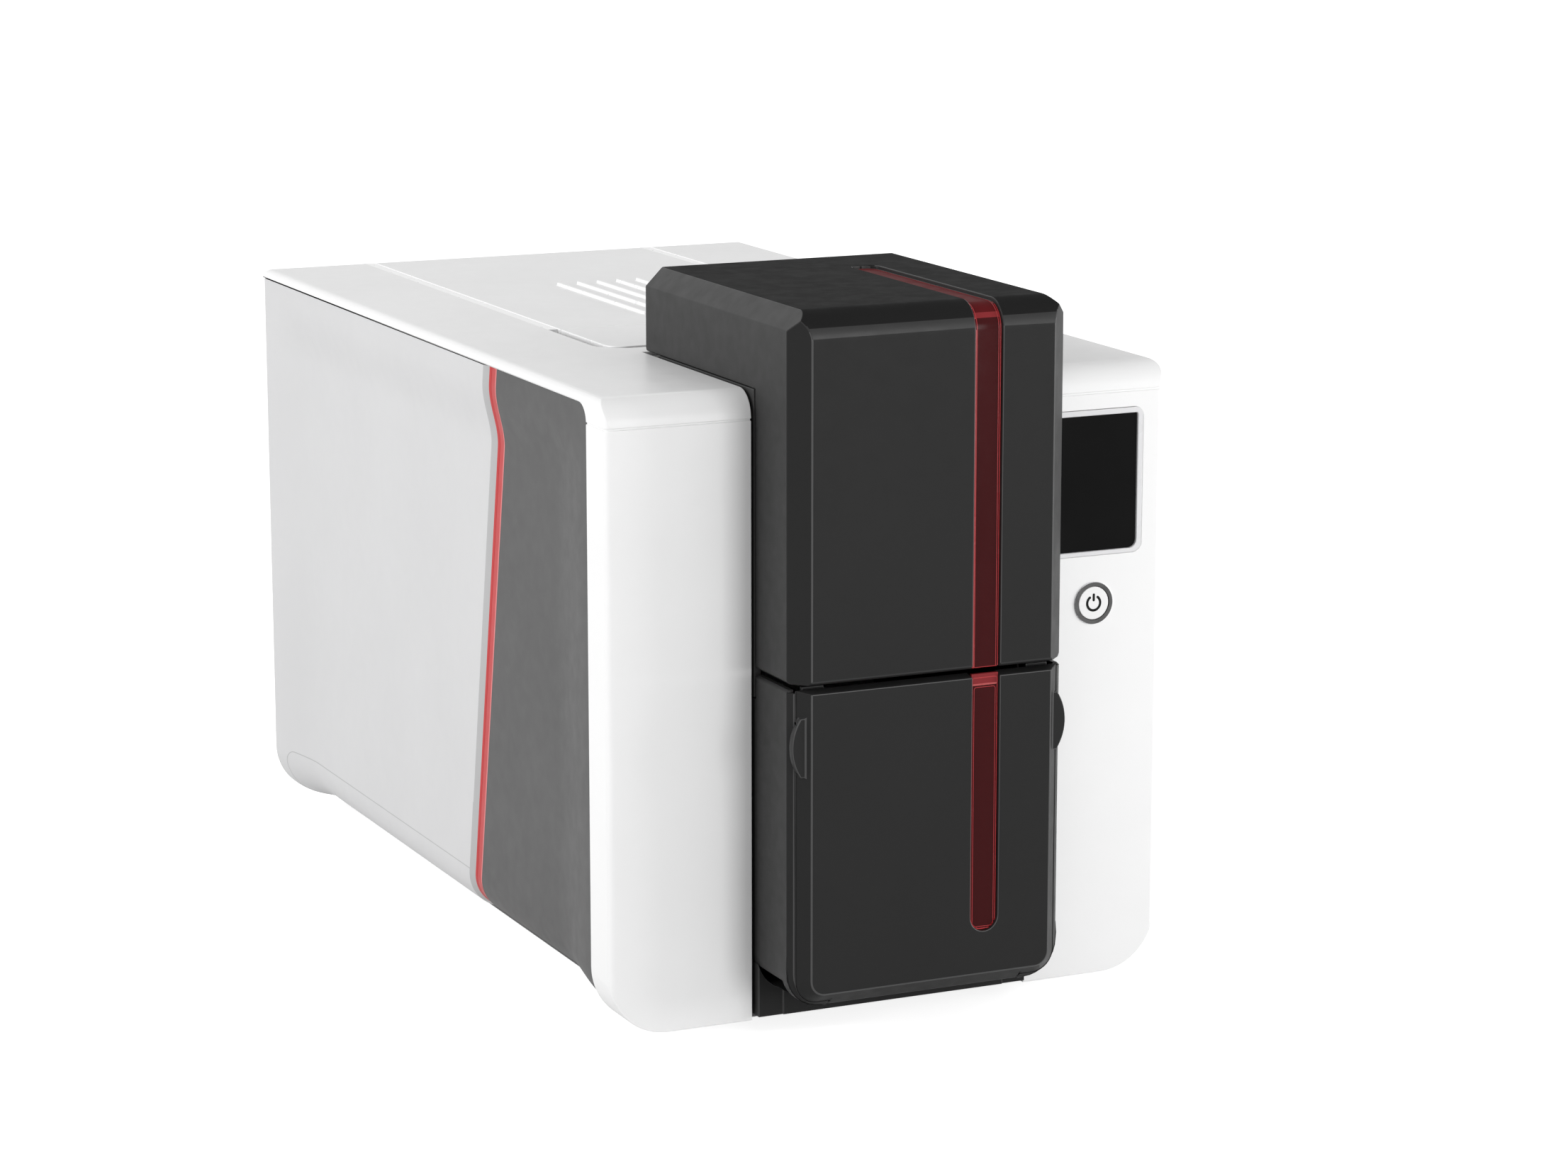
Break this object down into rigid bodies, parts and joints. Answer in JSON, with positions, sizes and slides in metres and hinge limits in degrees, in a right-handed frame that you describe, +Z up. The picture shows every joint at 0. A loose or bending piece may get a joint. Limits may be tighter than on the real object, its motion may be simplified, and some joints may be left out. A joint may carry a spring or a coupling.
{
  "type": "id_card_printer",
  "caption": "Desktop plastic-card printer: white covers, dished side panels with a slanted red stripe, black front tower with card feeder and hopper, touch screen, lid over ribbon and rollers.",
  "frame": {"origin": "Centre of the overall footprint on the ground plane: x = 0 and y = 0 are the middle of the overall box and z = 0 is the underside of the rubber feet.", "axes": "+X to the right when the front is looked at (the side with the screen), +Y from the front tower to the rear panel, +Z up."},
  "size_m": [0.205, 0.381, 0.247],
  "materials": {
    "white_cover": "satin",
    "light_grey_panel": "satin",
    "dark_grey_panel": "satin",
    "stripe_red": "satin",
    "tower_black": "fine texture",
    "inner_black": "matt",
    "tinted_window": "tinted, clear",
    "screen_glass": "gloss",
    "bezel_grey": "satin",
    "button_white": "gloss",
    "frame_steel": "zinc plated",
    "connector_metal": "nickel plated",
    "foot_rubber": "matt",
    "roller_rubber": "ground",
    "cleaning_rubber": "tacky",
    "gear_nylon": "matt",
    "spool_nylon": "matt",
    "board_green": "solder mask"
  },
  "bodies": {
    "housing": {"base_tray": "dark_grey_panel", "front_base": "tower_black", "fascia_left": "white_cover", "fascia_right": "white_cover", "top_cover": "white_cover", "panel_left_rear": "light_grey_panel", "stripe_left": "stripe_red", "panel_left_front": "dark_grey_panel", "panel_right_rear": "light_grey_panel", "stripe_right": "stripe_red", "panel_right_front": "dark_grey_panel", "rear_panel": "white_cover", "chassis_left": "frame_steel", "chassis_right": "frame_steel", "hopper_housing": "tower_black", "output_tray": "inner_black", "feeder_frame": "inner_black", "hood_pin": "frame_steel", "door_pin": "frame_steel", "lid_pin": "frame_steel", "screen_bezel": "bezel_grey", "touchscreen": "screen_glass", "button_ring": "connector_metal", "main_board": "board_green", "usb_port": "connector_metal", "lan_port": "connector_metal", "power_inlet": "inner_black", "drive_motor": "frame_steel", "ribbon_motor": "frame_steel", "card_guide": "inner_black", "idler_axles": "frame_steel", "latch_bar": "frame_steel", "feet": "foot_rubber", "rear_screws": "frame_steel"},
    "lid": {"lid": "white_cover", "head_carrier": "inner_black", "print_head": "frame_steel"},
    "release": {"release_plate": "white_cover"},
    "hood": {"hood": "tower_black", "hood_window": "tinted_window"},
    "weight": {"card_weight": "dark_grey_panel"},
    "gauge": {"gauge_lever": "bezel_grey"},
    "door": {"door": "tower_black", "door_window": "tinted_window"},
    "button": {"power_button": "button_white"},
    "pick": {"pick_roller": "roller_rubber"},
    "feed": {"feed_roller": "roller_rubber"},
    "platen": {"platen_roller": "roller_rubber"},
    "exit": {"exit_roller": "roller_rubber"},
    "idler_1": {"idler_gear_1": "gear_nylon"},
    "idler_2": {"idler_gear_2": "gear_nylon"},
    "idler_3": {"idler_gear_3": "gear_nylon"},
    "pinion": {"drive_pinion": "gear_nylon"},
    "feed_pinch": {"feed_pinch_roller": "roller_rubber"},
    "exit_pinch": {"exit_pinch_roller": "roller_rubber"},
    "cleaner": {"cleaning_roller": "cleaning_rubber"},
    "supply": {"supply_spool": "spool_nylon"},
    "takeup": {"takeup_spool": "spool_nylon"},
    "ribbon_drive": {"ribbon_pinion": "gear_nylon"}
  },
  "joints": [
    {"name": "lid_hinge", "type": "hinge", "parent": "housing", "child": "lid", "pos_m": [0, 0.1865, 0.214], "axis": [-1, 0, 0], "range_deg": [0, 78]},
    {"name": "release_press", "type": "slide", "parent": "housing", "child": "release", "axis": [0, 0, -1], "range_m": [0, 0.0015], "stiffness_N_per_m": 500, "springref_m": -0.001},
    {"name": "hood_hinge", "type": "hinge", "parent": "housing", "child": "hood", "pos_m": [0, -0.0735, 0.2225], "axis": [-1, 0, 0], "range_deg": [0, 75]},
    {"name": "weight_slide", "type": "slide", "parent": "housing", "child": "weight", "axis": [0, 0, 1], "range_m": [0, 0.06]},
    {"name": "gauge_slide", "type": "slide", "parent": "housing", "child": "gauge", "axis": [0, 0, 1], "range_m": [0, 0.008]},
    {"name": "door_hinge", "type": "hinge", "parent": "housing", "child": "door", "pos_m": [0, -0.1834, 0.0185], "axis": [1, 0, 0], "range_deg": [0, 88]},
    {"name": "button_press", "type": "slide", "parent": "housing", "child": "button", "axis": [0, 1, 0], "range_m": [0, 0.001], "stiffness_N_per_m": 400, "springref_m": -0.001},
    {"name": "pick_spin", "type": "hinge", "parent": "housing", "child": "pick", "pos_m": [0, -0.1195, 0.1236], "axis": [1, 0, 0], "continuous": true},
    {"name": "feed_spin", "type": "hinge", "parent": "housing", "child": "feed", "pos_m": [0, -0.0355, 0.1236], "axis": [1, 0, 0], "continuous": true},
    {"name": "platen_spin", "type": "hinge", "parent": "housing", "child": "platen", "pos_m": [0, 0.0485, 0.1236], "axis": [1, 0, 0], "continuous": true},
    {"name": "exit_spin", "type": "hinge", "parent": "housing", "child": "exit", "pos_m": [0, 0.1325, 0.1236], "axis": [1, 0, 0], "continuous": true},
    {"name": "idler_1_spin", "type": "hinge", "parent": "housing", "child": "idler_1", "pos_m": [0, -0.0775, 0.1236], "axis": [1, 0, 0], "continuous": true},
    {"name": "idler_2_spin", "type": "hinge", "parent": "housing", "child": "idler_2", "pos_m": [0, 0.0065, 0.1236], "axis": [1, 0, 0], "continuous": true},
    {"name": "idler_3_spin", "type": "hinge", "parent": "housing", "child": "idler_3", "pos_m": [0, 0.0905, 0.1236], "axis": [1, 0, 0], "continuous": true},
    {"name": "pinion_spin", "type": "hinge", "parent": "housing", "child": "pinion", "pos_m": [0, 0.0065, 0.0861], "axis": [1, 0, 0], "continuous": true},
    {"name": "feed_pinch_spin", "type": "hinge", "parent": "housing", "child": "feed_pinch", "pos_m": [0, -0.0355, 0.1355], "axis": [1, 0, 0], "continuous": true},
    {"name": "exit_pinch_spin", "type": "hinge", "parent": "housing", "child": "exit_pinch", "pos_m": [0, 0.1325, 0.1355], "axis": [1, 0, 0], "continuous": true},
    {"name": "cleaner_spin", "type": "hinge", "parent": "housing", "child": "cleaner", "pos_m": [0, -0.0555, 0.1365], "axis": [1, 0, 0], "continuous": true},
    {"name": "supply_spin", "type": "hinge", "parent": "housing", "child": "supply", "pos_m": [0, 0.1045, 0.176], "axis": [1, 0, 0], "continuous": true},
    {"name": "takeup_spin", "type": "hinge", "parent": "housing", "child": "takeup", "pos_m": [0, -0.0195, 0.176], "axis": [1, 0, 0], "continuous": true},
    {"name": "ribbon_drive_spin", "type": "hinge", "parent": "housing", "child": "ribbon_drive", "pos_m": [0, -0.0555, 0.176], "axis": [1, 0, 0], "continuous": true}
  ],
  "couplings": [
    {"joint": "idler_1_spin", "follows": "idler_2_spin", "ratio": 1},
    {"joint": "idler_3_spin", "follows": "idler_2_spin", "ratio": 1},
    {"joint": "pick_spin", "follows": "idler_2_spin", "ratio": -2.5},
    {"joint": "feed_spin", "follows": "idler_2_spin", "ratio": -2.5},
    {"joint": "platen_spin", "follows": "idler_2_spin", "ratio": -2.5},
    {"joint": "exit_spin", "follows": "idler_2_spin", "ratio": -2.5},
    {"joint": "pinion_spin", "follows": "idler_2_spin", "ratio": -4},
    {"joint": "ribbon_drive_spin", "follows": "takeup_spin", "ratio": -3.8}
  ]
}
